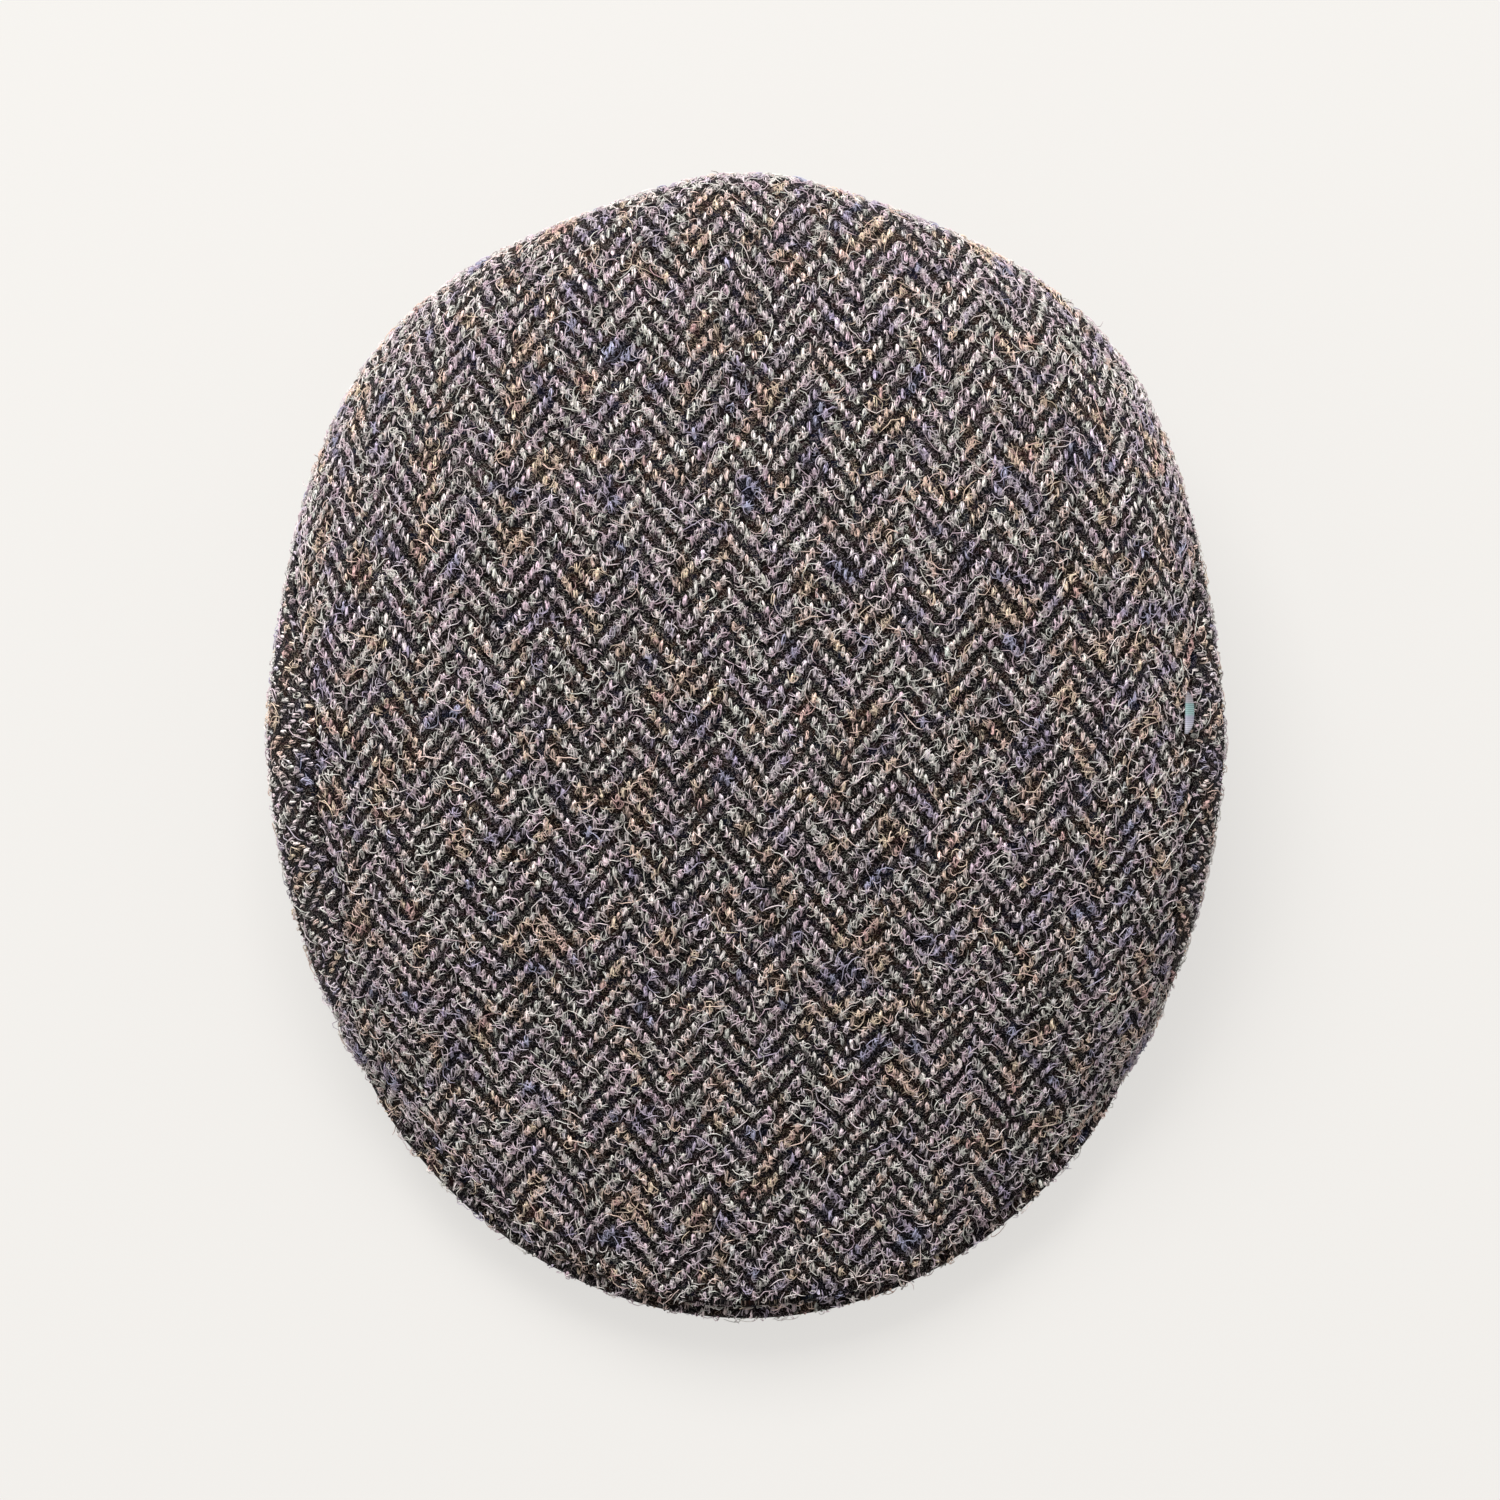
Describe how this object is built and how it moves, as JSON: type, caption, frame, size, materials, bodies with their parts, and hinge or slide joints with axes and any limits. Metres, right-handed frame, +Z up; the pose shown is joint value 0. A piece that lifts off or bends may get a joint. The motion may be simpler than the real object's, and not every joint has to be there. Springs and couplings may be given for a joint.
{
  "type": "flat cap",
  "caption": "Flat cap in grey herringbone tweed: a one-piece top over curved side panels and a short stiff peak, resting on its rim.",
  "frame": {"origin": "on the surface that the rim rests on, under the middle of the cap's box", "axes": "+Z up, -Y towards the front of the peak, +X towards the wearer's left"},
  "size_m": [0.2274, 0.2717, 0.0875],
  "materials": {
    "herringbone_tweed": "fuzzy woven cloth",
    "woven_tape": "matt woven tape"
  },
  "bodies": {
    "root": {"top_panel": "herringbone_tweed", "side_panel_left": "herringbone_tweed", "side_panel_right": "herringbone_tweed", "peak": "herringbone_tweed", "seam_tab": "woven_tape"}
  },
  "joints": []
}
